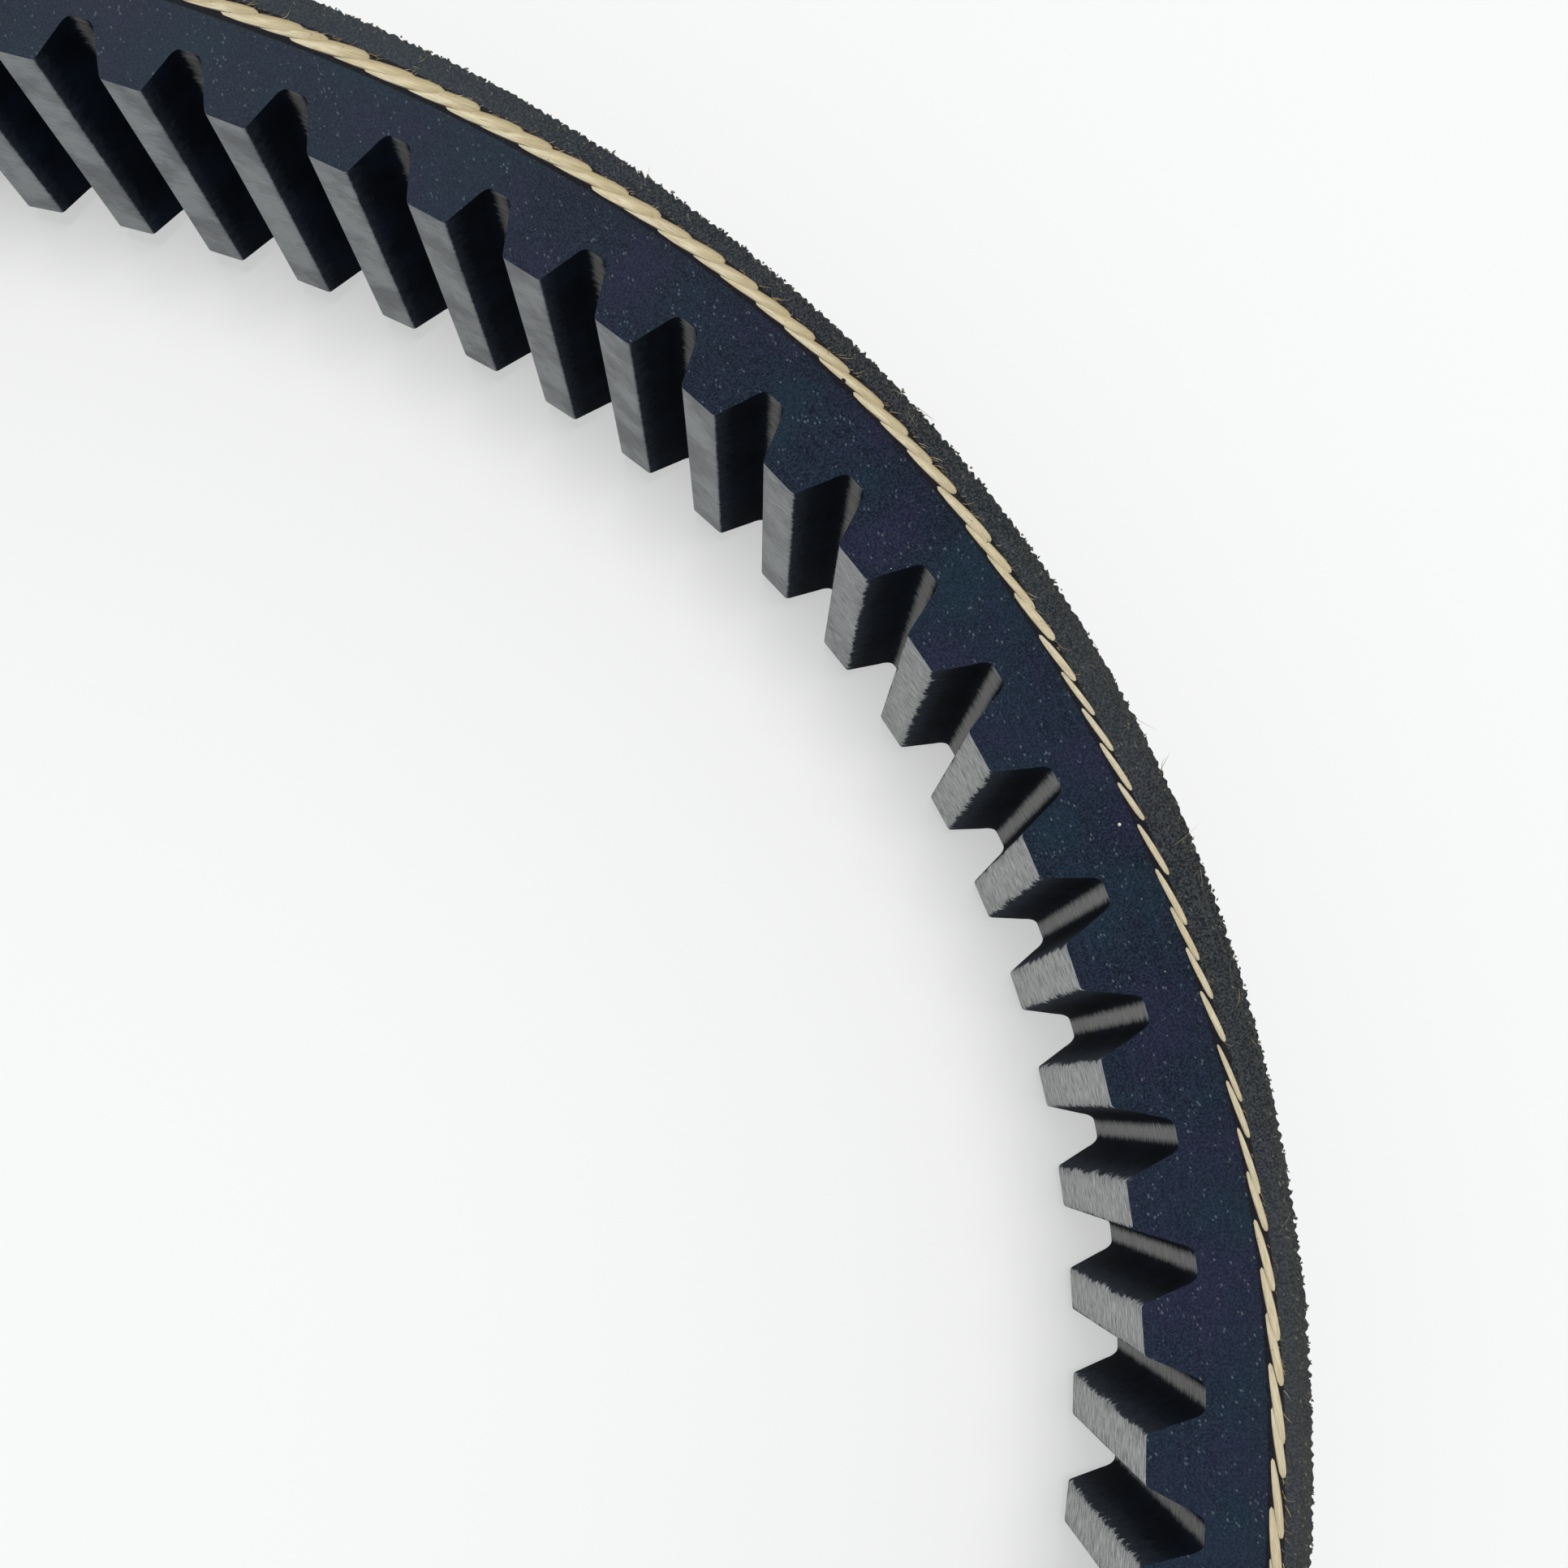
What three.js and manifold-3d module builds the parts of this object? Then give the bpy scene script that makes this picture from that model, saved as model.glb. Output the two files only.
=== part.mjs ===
// Raw-edge cogged variable-speed V belt, lying on its flank as a free oval loop.
// Millimetres. The loop's axis is +Z and its centre, at mid width, is the origin.
// The rings of the laminate are built outwards from the cog tips to the back.

import * as THREE from 'three';
import Module from 'manifold-3d';

// ---- driving dimensions -------------------------------------------------

const PITCH_LENGTH = 710;      // length of the loop along its tension cord
const COG_COUNT = 104;         // a multiple of four, so a cog faces each end of both axes
const LOOP_ASPECT = 1.31;      // long axis over short axis of the free oval, at the cord

const TOP_WIDTH = 25;          // width across the back
const THICKNESS = 8;           // back to cog tips
const FLANK_ANGLE = 13;        // degrees, each flank against the loop's axis plane

const PLY = 0.35;              // one ply of back fabric
const CORD_DIAMETER = 1.3;
const CORD_DEPTH = 1.9;        // cord's centre line below the back
const CORD_LEAD = 2.0;         // how far the cord moves across the belt in one turn
const CORD_START = 10;         // corner of the cord's path, from the +X end, where it starts
const CORD_CLEARANCE = 0.05;   // between the cord and its bed in the adhesion rubber
const ADHESION_BELOW = 1.2;    // adhesion rubber from the cord's centre line to the cogged body

const COG_TIP = 2.5;           // flat tip of a cog, along the belt
const COG_FOOT = 4.3;          // length of a cog where its sides meet the valleys' rounds
const COG_FOOT_HEIGHT = 2.05;  // height of that meeting, from the tips
const ROUND_RUN = 0.3;         // from the foot to the middle of the round, along the belt
const ROUND_RISE = 0.55;       // and towards the back
const VALLEY_FLOOR = 0.9;      // narrow floor between the two rounds of a valley
const VALLEY_HEIGHT = 2.9;     // height of that floor, from the tips

// ---- derived dimensions -------------------------------------------------

const PITCH = PITCH_LENGTH / COG_COUNT;
const CORD_EVERY = 2;          // the cord and its bed have one corner for every second cog
const CORD_HEIGHT = THICKNESS - CORD_DEPTH;       // heights are measured from the cog tips
const ADHESION_HEIGHT = CORD_HEIGHT - ADHESION_BELOW;
const INNER_PLY_HEIGHT = THICKNESS - 2 * PLY;
const OUTER_PLY_HEIGHT = THICKNESS - PLY;
const FLANK_SLOPE = Math.tan(FLANK_ANGLE * Math.PI / 180);

/** Half the belt's width at a height above the cog tips. */
const halfWidth = (height) => TOP_WIDTH / 2 - (THICKNESS - height) * FLANK_SLOPE;

// ---- the loop's path ----------------------------------------------------

/** The oval through the cord: an ellipse of the given aspect, scaled to the pitch length. */
function makePath(steps = 7200) {
  const angles = Array.from({ length: steps + 1 }, (_, i) => 2 * Math.PI * i / steps);
  const speed = (t) => Math.hypot(LOOP_ASPECT * Math.sin(t), Math.cos(t));
  const run = [0];
  for (let i = 1; i <= steps; i += 1) {
    const middle = (angles[i] + angles[i - 1]) / 2;
    run.push(run[i - 1] + speed(middle) * (angles[i] - angles[i - 1]));
  }
  const short = PITCH_LENGTH / run[steps];
  const long = short * LOOP_ASPECT;

  /** Point, outward normal and tangent at a distance along the cord from the +X end. */
  return (distance) => {
    const target = (((distance / short) % run[steps]) + run[steps]) % run[steps];
    let low = 0;
    let high = steps;
    while (high - low > 1) {
      const middle = (low + high) >> 1;
      if (run[middle] <= target) low = middle; else high = middle;
    }
    const part = (target - run[low]) / (run[high] - run[low]);
    const t = angles[low] + part * (angles[high] - angles[low]);
    const size = speed(t);
    const normal = [Math.cos(t) / size, LOOP_ASPECT * Math.sin(t) / size];
    return {
      point: [long * Math.cos(t), short * Math.sin(t)],
      normal,
      tangent: [-normal[1], normal[0]],
    };
  };
}

const pathAt = makePath();

/** A flank point: so far along the path, at a height above the tips, shifted along the belt. */
function beltPoint(distance, height, shift = 0) {
  const { point, normal, tangent } = pathAt(distance);
  const out = height - CORD_HEIGHT;
  return {
    along: distance + shift,
    x: point[0] + normal[0] * out + tangent[0] * shift,
    y: point[1] + normal[1] * out + tangent[1] * shift,
    half: halfWidth(height),
  };
}

/** A plain closed line round the belt, with one vertex on every nth border between cogs. */
function plainLine(height, every = 1) {
  const line = [];
  for (let i = 0; i < COG_COUNT; i += every) line.push(beltPoint((i - 0.5) * PITCH, height));
  return line;
}

/** The closed line of cogs and valleys, each drawn square to the path at its own middle. */
function coggedLine() {
  const side = [
    [COG_TIP / 2, 0],
    [COG_FOOT / 2, COG_FOOT_HEIGHT],
    [COG_FOOT / 2 + ROUND_RUN, COG_FOOT_HEIGHT + ROUND_RISE],
  ];
  const line = [];
  for (let i = 0; i < COG_COUNT; i += 1) {
    line.push(beltPoint((i - 0.5) * PITCH, VALLEY_HEIGHT, VALLEY_FLOOR / 2));
    for (const [shift, height] of [...side].reverse()) {
      line.push(beltPoint(i * PITCH, height, -shift));
    }
    for (const [shift, height] of side) line.push(beltPoint(i * PITCH, height, shift));
    line.push(beltPoint((i + 0.5) * PITCH, VALLEY_HEIGHT, -VALLEY_FLOOR / 2));
  }
  return line;
}

// ---- solids -------------------------------------------------------------

/** A ring between two closed lines that start at the same border between two cogs. */
function ring(outer, inner) {
  const positions = [];
  const indices = [];
  for (const line of [outer, inner]) {
    for (const p of line) positions.push(p.x, p.y, p.half, p.x, p.y, -p.half);
  }
  const offset = 2 * outer.length;
  const top = (line, i) => (line === outer ? 0 : offset) + 2 * (i % line.length);
  const wall = (line, flip) => {
    for (let i = 0; i < line.length; i += 1) {
      const [a, b] = [top(line, i), top(line, i + 1)];
      if (flip) indices.push(a, b, a + 1, b, b + 1, a + 1);
      else indices.push(a, a + 1, b, b, a + 1, b + 1);
    }
  };
  wall(outer, false);
  wall(inner, true);

  // Each flank is a strip of triangles, always stepping on the line that lags behind.
  const along = (line, i) => (i < line.length ? line[i].along : line[0].along + PITCH_LENGTH);
  let [i, j] = [0, 0];
  while (i < outer.length || j < inner.length) {
    const stepOuter = j >= inner.length
      || (i < outer.length && along(outer, i + 1) <= along(inner, j + 1) + 1e-6);
    const [a, b] = [top(outer, i), top(inner, j)];
    const c = stepOuter ? top(outer, i + 1) : top(inner, j + 1);
    indices.push(a, c, b, a + 1, b + 1, c + 1);
    if (stepOuter) i += 1; else j += 1;
  }
  return solidGeometry(positions, indices);
}

/**
 * One continuous winding from flank to flank, a square bar on its corner. Its centre line starts
 * on the lower flank, so the first and last stretches stand out of the belt until they are cut.
 */
function winding(radius) {
  const start = CORD_START * CORD_EVERY;
  const rise = CORD_LEAD * CORD_EVERY / COG_COUNT;
  const steps = Math.round(2 * halfWidth(CORD_HEIGHT) / rise);
  const positions = [];
  const indices = [];
  for (let i = 0; i <= steps; i += 1) {
    const { point, normal } = pathAt((start + i * CORD_EVERY - 0.5) * PITCH);
    const z = (i - steps / 2) * rise;
    for (const [out, up] of [[radius, 0], [0, radius], [-radius, 0], [0, -radius]]) {
      positions.push(point[0] + normal[0] * out, point[1] + normal[1] * out, z + up);
    }
  }
  for (let i = 0; i < steps; i += 1) {
    for (let k = 0; k < 4; k += 1) {
      const [a, b] = [4 * i + k, 4 * i + (k + 1) % 4];
      indices.push(a, a + 4, b, b, a + 4, b + 4);
    }
  }
  const end = 4 * steps;
  indices.push(0, 1, 2, 0, 2, 3, end, end + 2, end + 1, end, end + 3, end + 2);
  return solidGeometry(positions, indices);
}

function solidGeometry(positions, indices) {
  const geometry = new THREE.BufferGeometry();
  geometry.setAttribute('position', new THREE.Float32BufferAttribute(positions, 3));
  geometry.setIndex(indices);
  return geometry;
}

const wasm = await Module();
wasm.setup();

/** Geometry to manifold solid and back, for the joins and cuts. */
function toSolid(geometry) {
  return new wasm.Manifold(new wasm.Mesh({
    numProp: 3,
    vertProperties: new Float32Array(geometry.attributes.position.array),
    triVerts: new Uint32Array(geometry.index.array),
  }));
}

function fromSolid(solid) {
  const mesh = solid.getMesh();
  return solidGeometry(Array.from(mesh.vertProperties), Array.from(mesh.triVerts));
}

// ---- the belt -----------------------------------------------------------

const cordBed = plainLine(CORD_HEIGHT, CORD_EVERY);
const upperRing = toSolid(ring(plainLine(INNER_PLY_HEIGHT), cordBed));
const lowerRing = toSolid(ring(cordBed, plainLine(ADHESION_HEIGHT)));
const cord = toSolid(winding(CORD_DIAMETER / 2)).intersect(upperRing.add(lowerRing));
const cordBore = toSolid(winding(CORD_DIAMETER / 2 + CORD_CLEARANCE));

const pieces = {
  cogged_compression_rubber: {
    geometry: ring(plainLine(ADHESION_HEIGHT), coggedLine()),
    colour: '#23262c', roughness: 0.78,
  },
  lower_adhesion_rubber: {
    geometry: fromSolid(lowerRing.subtract(cordBore)),
    colour: '#1c1e23', roughness: 0.8,
  },
  tension_cord: {
    geometry: fromSolid(cord),
    colour: '#cfc3a4', roughness: 0.85,
  },
  upper_adhesion_rubber: {
    geometry: fromSolid(upperRing.subtract(cordBore)),
    colour: '#202228', roughness: 0.8,
  },
  inner_back_fabric_ply: {
    geometry: ring(plainLine(OUTER_PLY_HEIGHT), plainLine(INNER_PLY_HEIGHT)),
    colour: '#2b2b28', roughness: 0.92,
  },
  outer_back_fabric_ply: {
    geometry: ring(plainLine(THICKNESS), plainLine(OUTER_PLY_HEIGHT)),
    colour: '#3a392f', roughness: 0.95,
  },
};

const belt = new THREE.Group();
belt.name = 'v_belt';
for (const [name, { geometry, colour, roughness }] of Object.entries(pieces)) {
  const material = new THREE.MeshStandardMaterial({ color: colour, roughness, metalness: 0 });
  material.name = name;
  const mesh = new THREE.Mesh(geometry, material);
  mesh.name = name;
  belt.add(mesh);
}

export default belt;
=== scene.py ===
# %% [markdown]
# # A cogged raw-edge V belt, lying on its flank
# The belt is one vulcanised laminate: a cogged rubber body on the inside of the loop, two layers of
# adhesion rubber with a tension cord wound between them, and two plies of fabric on the back. Its
# flanks are ground after curing, so all the layers show there as bands, and the outermost turn of the
# cord shows as a line of cut, pale strands. This script draws each layer as its own surface, in the
# same metres and the same frame as the CAD model, which it loads first and keeps as the authority.

# %% Load the CAD frame
import math

import bpy
import numpy as np
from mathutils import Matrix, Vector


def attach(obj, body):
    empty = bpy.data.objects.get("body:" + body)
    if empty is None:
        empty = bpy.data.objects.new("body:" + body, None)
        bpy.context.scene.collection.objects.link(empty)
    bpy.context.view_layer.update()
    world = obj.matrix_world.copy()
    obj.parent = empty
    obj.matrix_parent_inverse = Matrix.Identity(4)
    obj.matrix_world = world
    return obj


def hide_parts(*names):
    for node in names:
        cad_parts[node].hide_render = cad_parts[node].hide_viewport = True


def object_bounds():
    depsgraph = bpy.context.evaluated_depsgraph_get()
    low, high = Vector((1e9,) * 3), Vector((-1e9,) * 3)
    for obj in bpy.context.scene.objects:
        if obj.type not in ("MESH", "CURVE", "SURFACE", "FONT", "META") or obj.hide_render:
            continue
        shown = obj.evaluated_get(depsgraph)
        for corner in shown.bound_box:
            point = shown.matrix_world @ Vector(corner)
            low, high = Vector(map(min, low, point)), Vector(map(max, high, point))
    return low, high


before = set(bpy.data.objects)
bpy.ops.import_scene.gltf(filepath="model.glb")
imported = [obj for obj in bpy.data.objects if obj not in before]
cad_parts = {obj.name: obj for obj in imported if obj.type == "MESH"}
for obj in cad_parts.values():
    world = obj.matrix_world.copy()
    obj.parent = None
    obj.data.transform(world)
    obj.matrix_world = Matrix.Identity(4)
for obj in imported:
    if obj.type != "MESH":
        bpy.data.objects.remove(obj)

cad_low, cad_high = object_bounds()
MM = 0.001
print("CAD box in mm:", [round((b - a) / MM, 2) for a, b in zip(cad_low, cad_high)])

# %% [markdown]
# ## The camera
# It stands just inside one end of the loop and looks almost straight down at the upper flank, so the
# flank is seen as a broad curved band and the cogs show both their tips and their depth. Its place and
# its three turning angles are fixed here, before anything is drawn, and its lens is centred.

# %% Camera
CAMERA_PLACE = (0.1029052, -0.0062251, 0.1068801)    # metres
CAMERA_TURN = (9.847, -0.974, -22.347)               # degrees about X, Y and Z
SENSOR_WIDTH, FOCAL_LENGTH = 36.0, 41.81             # millimetres

camera_data = bpy.data.cameras.new("camera")
camera_data.sensor_width = SENSOR_WIDTH
camera_data.lens = FOCAL_LENGTH
camera_data.clip_start, camera_data.clip_end = 0.005, 20.0
camera = bpy.data.objects.new("camera", camera_data)
camera.location = CAMERA_PLACE
camera.rotation_euler = [math.radians(a) for a in CAMERA_TURN]
bpy.context.scene.collection.objects.link(camera)
bpy.context.scene.camera = camera
print("camera", round(camera.location.z / MM - cad_high.z / MM, 1), "mm above the upper flank")

# %% [markdown]
# ## Floor and light
# The belt lies on a plain white table top. The floor plane sits just under the lower rim of the back.
# It glows a little itself, like a lit studio table, so the shadows between the cogs stay faint. A wide
# soft lamp straight above gives most of the light and keeps the shadows short. The surround is pale at
# the horizon and dimmer overhead, as in a white room, so the upright faces of the cogs are lit too.

# %% Floor, surround and overhead lamp
bpy.context.scene.view_settings.view_transform = "Standard"

FLOOR_HALF, FLOOR_GAP = 3.0, 0.00004                 # metres
HORIZON, OVERHEAD = (0.94, 0.96, 0.98, 1.0), (0.35, 0.365, 0.39, 1.0)
LAMP_STRENGTH, LAMP_WIDTH, LAMP_TURN = 1.5, 21.0, (-4.0, 7.0, 0.0)    # W/m2, degrees, degrees

floor_mesh = bpy.data.meshes.new("floor")
floor_z = cad_low.z - FLOOR_GAP
floor_mesh.from_pydata(
    [(-FLOOR_HALF, -FLOOR_HALF, floor_z), (FLOOR_HALF, -FLOOR_HALF, floor_z),
     (FLOOR_HALF, FLOOR_HALF, floor_z), (-FLOOR_HALF, FLOOR_HALF, floor_z)],
    [], [(0, 1, 2, 3)])
floor = bpy.data.objects.new("floor", floor_mesh)
bpy.context.scene.collection.objects.link(floor)

world = bpy.data.worlds.new("surround")
bpy.context.scene.world = world
world.use_nodes = True
room = world.node_tree
surround = next(n for n in room.nodes if n.type == "BACKGROUND")
direction = room.nodes.new("ShaderNodeTexCoord")
upward = room.nodes.new("ShaderNodeSeparateXYZ")
horizon_to_top = room.nodes.new("ShaderNodeMapRange")
room_colour = room.nodes.new("ShaderNodeMix")
room_colour.data_type = "RGBA"
horizon_to_top.inputs["From Min"].default_value = 0.0
horizon_to_top.inputs["From Max"].default_value = 0.75
room_colour.inputs[6].default_value = HORIZON
room_colour.inputs[7].default_value = OVERHEAD
room.links.new(direction.outputs["Generated"], upward.inputs[0])
room.links.new(upward.outputs["Z"], horizon_to_top.inputs["Value"])
room.links.new(horizon_to_top.outputs["Result"], room_colour.inputs[0])
room.links.new(room_colour.outputs[2], surround.inputs["Color"])
surround.inputs["Strength"].default_value = 1.0

overhead_data = bpy.data.lights.new("overhead", "SUN")
overhead_data.energy, overhead_data.angle = LAMP_STRENGTH, math.radians(LAMP_WIDTH)
overhead = bpy.data.objects.new("overhead", overhead_data)
overhead.rotation_euler = [math.radians(a) for a in LAMP_TURN]
bpy.context.scene.collection.objects.link(overhead)
print("floor at", round(floor_z / MM, 3), "mm")

# %% [markdown]
# ## The belt's own coordinates
# Every surface here is written in three belt coordinates: how far along the cord line (`s`), how high
# above the cog tips (`h`, so the back is at 8 mm), and how far across (`z`). The loop is a free oval:
# an ellipse through the cord, scaled so that its length is the belt's pitch length. A table of the
# ellipse's running length turns `s` into an angle, once, for whole arrays.

# %% Belt sizes and the path
PITCH_LENGTH, LOOP_ASPECT, COG_COUNT = 710.0, 1.31, 104
THICKNESS, HALF_BACK, PLY = 8.0, 12.5, 0.35
CORD_HEIGHT, ADHESION_HEIGHT = 6.1, 4.9
INNER_PLY_HEIGHT, OUTER_PLY_HEIGHT = THICKNESS - 2 * PLY, THICKNESS - PLY
FLANK_SLOPE = math.tan(math.radians(13.0))
PITCH = PITCH_LENGTH / COG_COUNT

turn = np.linspace(0.0, 2 * math.pi, 7201)
middle_turn = (turn[1:] + turn[:-1]) / 2
running = np.concatenate([[0.0], np.cumsum(
    np.hypot(LOOP_ASPECT * np.sin(middle_turn), np.cos(middle_turn)) * np.diff(turn))])
SHORT = PITCH_LENGTH / running[-1]
LONG = SHORT * LOOP_ASPECT
print("oval at the cord", round(2 * LONG, 2), "x", round(2 * SHORT, 2), "mm")
print("cog pitch", round(PITCH, 4), "mm")


def half_width(h):
    """Half the belt's width at height h: the flanks lean in by 13 degrees towards the cog tips."""
    return HALF_BACK - (THICKNESS - h) * FLANK_SLOPE


def along_loop(s):
    """Point on the cord line, outward normal and tangent, for distances s along the cord in mm."""
    t = np.interp(np.mod(s / SHORT, running[-1]), running, turn)
    size = np.hypot(np.cos(t), LOOP_ASPECT * np.sin(t))
    point = np.stack([LONG * np.cos(t), SHORT * np.sin(t)], -1)
    normal = np.stack([np.cos(t) / size, LOOP_ASPECT * np.sin(t) / size], -1)
    return point, normal, np.stack([-normal[..., 1], normal[..., 0]], -1)


def belt_point(s, h, z, shift=0.0):
    """Point at path(s) + normal * (h - cord height) + tangent * shift, z up, all in mm."""
    s, h, z, shift = np.broadcast_arrays(*(np.asarray(a, float) for a in (s, h, z, shift)))
    point, normal, tangent = along_loop(s)
    flat = point + normal * (h - CORD_HEIGHT)[..., None] + tangent * shift[..., None]
    return np.concatenate([flat, z[..., None]], -1)


# %% [markdown]
# ## From a grid of points to a piece
# A layer is a tube bent into a ring: one grid direction runs round the loop and the other round the
# layer's own section, and both close on themselves, so there is no seam. One helper turns such a grid
# into a mesh, marks which side of the layer each face belongs to, lays a map in millimetres over it,
# and keeps named numbers on its points, such as the height above the cog tips, for the finishes.

# %% Grid to mesh
def ring_piece(name, grid, s, across, sides, carried, smooth_angle=35.0):
    """Closed ring from grid[i, j]: i runs round the loop, j round the section, and both wrap.
    s and across give the map along and across in mm, with one value more than the grid each way,
    sides the side number of each strip of faces, and carried the named numbers of every point."""
    n, m = grid.shape[:2]
    i, j = np.meshgrid(np.arange(n), np.arange(m), indexing="ij")
    i2, j2 = (i + 1) % n, (j + 1) % m
    quads = np.stack([i * m + j, i2 * m + j, i2 * m + j2, i * m + j2], -1).reshape(-1, 4)
    mesh = bpy.data.meshes.new(name)
    mesh.vertices.add(n * m)
    mesh.vertices.foreach_set("co", (grid * MM).astype(np.float32).ravel())
    mesh.loops.add(4 * len(quads))
    mesh.loops.foreach_set("vertex_index", quads.astype(np.int32).ravel())
    mesh.polygons.add(len(quads))
    mesh.polygons.foreach_set("loop_start", np.arange(0, 4 * len(quads), 4, dtype=np.int32))
    mesh.polygons.foreach_set("use_smooth", np.ones(len(quads), bool))
    along = np.broadcast_to(s[:, None] if s.ndim == 1 else s, (n + 1, m))
    u = np.stack([along[i, j], along[i + 1, j], along[i + 1, j2], along[i, j2]], -1)
    v = np.stack([across[j], across[j], across[j + 1], across[j + 1]], -1)
    belt_map = mesh.uv_layers.new(name="belt_map")
    belt_map.data.foreach_set("uv", np.stack([u, v], -1).astype(np.float32).ravel())
    for key, values in carried.items():
        mesh.attributes.new(key, "FLOAT", "POINT").data.foreach_set(
            "value", np.broadcast_to(values, (n, m)).astype(np.float32).ravel())
    mesh.polygons.foreach_set("material_index", np.tile(sides, n).astype(np.int32))
    mesh.update(calc_edges=True)
    mesh.validate()
    mesh.set_sharp_from_angle(angle=math.radians(smooth_angle))
    piece = bpy.data.objects.new(name, mesh)
    bpy.context.scene.collection.objects.link(piece)
    tri = grid[i, j], grid[i2, j], grid[i2, j2], grid[i, j2]
    volume = sum(np.einsum("abi,abi->", tri[0], np.cross(tri[k], tri[k + 1])) for k in (1, 2)) / 6
    print(f"{name}: {2 * len(quads)} triangles, {volume / 1000:.2f} cm3")
    return piece


def settle(piece, node, slot, *finishes):
    """Gives a piece its finishes, lets it ride on the belt and stand for its CAD node."""
    for finish in finishes:
        piece.data.materials.append(finish)
    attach(piece, "root")
    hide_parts(node)
    return piece


# %% [markdown]
# ## A small language for finishes
# Shader nodes are arithmetic with wires. `Wire` wraps one node output, so that `1 - mask` or
# `grain * 0.3` adds the Math node it stands for. `Finish` holds one material; its `node` method adds
# any other node from its type, its settings and what goes into its sockets. Colours meet in Mix nodes.

# %% Wire and Finish
class Wire:
    """One output socket, with arithmetic that adds Math nodes."""

    def __init__(self, finish, socket):
        self.finish, self.socket = finish, socket

    def _math(self, operation, a, b):
        return self.finish.node("ShaderNodeMath", {"operation": operation}, {0: a, 1: b})

    def __add__(self, other): return self._math("ADD", self, other)
    def __radd__(self, other): return self._math("ADD", other, self)
    def __sub__(self, other): return self._math("SUBTRACT", self, other)
    def __rsub__(self, other): return self._math("SUBTRACT", other, self)
    def __mul__(self, other): return self._math("MULTIPLY", self, other)
    def __rmul__(self, other): return self._math("MULTIPLY", other, self)


class Finish:
    """One procedural material and the helpers that wire it."""

    def __init__(self, name):
        self.material = bpy.data.materials.new(name)
        self.material.use_nodes = True
        self.tree = self.material.node_tree
        self.tree.nodes.clear()

    def node(self, kind, settings=None, inputs=None, output=0):
        """Adds a node: its settings first, then each socket's value or link. Returns one output."""
        node = self.tree.nodes.new(kind)
        for key, value in (settings or {}).items():
            setattr(node, key, value)
        for key, value in (inputs or {}).items():
            if isinstance(value, Wire):
                self.tree.links.new(value.socket, node.inputs[key])
            else:
                node.inputs[key].default_value = value
        return Wire(self, node.outputs[output]) if len(node.outputs) else None

    def place(self):
        """The piece's own Object coordinates, in metres."""
        return self.node("ShaderNodeTexCoord", output="Object")

    def stretched(self, coordinates, scale):
        """Coordinates multiplied by a scale along each of their three axes."""
        return self.node("ShaderNodeMapping", None, {"Vector": coordinates, "Scale": scale})

    def noise(self, coordinates, scale, detail=2.0, roughness=0.55, output="Fac"):
        """Cloudy values about 0.5, with so many cells in each unit of the coordinates."""
        return self.node("ShaderNodeTexNoise", None,
                         {"Vector": coordinates, "Scale": scale, "Detail": detail,
                          "Roughness": roughness}, output)

    def step(self, value, low, high, to_low=0.0, to_high=1.0):
        """A soft step: to_low below low, to_high above high, and a smooth ramp between."""
        return self.node("ShaderNodeMapRange", {"interpolation_type": "SMOOTHSTEP"},
                         {"Value": value, "From Min": low, "From Max": high,
                          "To Min": to_low, "To Max": to_high})

    def mix(self, mask, a, b, blend="MIX"):
        """Colour a where the mask is 0 and b where it is 1."""
        return self.node("ShaderNodeMix", {"data_type": "RGBA", "blend_type": blend},
                         {0: mask, 6: a, 7: b}, 2)

    def carried(self, name):
        """A number that each point of the piece carries, such as its height above the cog tips."""
        return self.node("ShaderNodeAttribute", {"attribute_name": name}, output="Fac")

    def larger(self, one, other):
        """The larger of two values."""
        return self.node("ShaderNodeMath", {"operation": "MAXIMUM"}, {0: one, 1: other})

    def size_of(self, value):
        """The value without its sign."""
        return self.node("ShaderNodeMath", {"operation": "ABSOLUTE"}, {0: value})

    def bump(self, value, depth, strength=1.0, after=None):
        """Relief of a given depth in metres, on top of an earlier relief."""
        inputs = {"Height": value, "Distance": depth, "Strength": strength}
        if after is not None:
            inputs["Normal"] = after
        return self.node("ShaderNodeBump", None, inputs)

    def shade(self, colour, roughness, relief=None, specular=0.5, sheen=0.0):
        """Ends the material in one Principled shader."""
        inputs = {"Base Color": colour, "Roughness": roughness, "Specular IOR Level": specular}
        if relief is not None:
            inputs["Normal"] = relief
        if sheen:
            inputs["Sheen Weight"] = sheen
        surface = self.node("ShaderNodeBsdfPrincipled", None, inputs)
        self.node("ShaderNodeOutputMaterial", None, {"Surface": surface})
        return self.material


def paint(red, green, blue):
    """A colour chip, given as it looks on screen from 0 to 255, as the linear colour shaders use."""
    chip = np.array([red, green, blue]) / 255.0
    linear = np.where(chip <= 0.04045, chip / 12.92, ((chip + 0.055) / 1.055) ** 2.4)
    return (*[float(c) for c in linear], 1.0)


print("colours, wires and finishes can be made now")

# %% [markdown]
# ## The table top
# The table is a plain, almost white board. A very slow cloud of two near whites keeps it from looking
# like flat paint, and a little light of its own stands for the light that a bright room throws back.

# %% Table top
table_top = Finish("white_table_top")
soft_cloud = table_top.noise(table_top.place(), 2.2, 2.0)
table_colour = table_top.mix(soft_cloud, paint(189, 189, 187), paint(194, 195, 194))
table_shader = table_top.node("ShaderNodeBsdfPrincipled", None, {
    "Base Color": table_colour, "Roughness": 0.6, "Specular IOR Level": 0.2,
    "Emission Color": (1.0, 1.0, 0.99, 1.0), "Emission Strength": 0.47})
table_top.node("ShaderNodeOutputMaterial", None, {"Surface": table_shader})
floor.data.materials.append(table_top.material)
print("table top finish ready")

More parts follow.
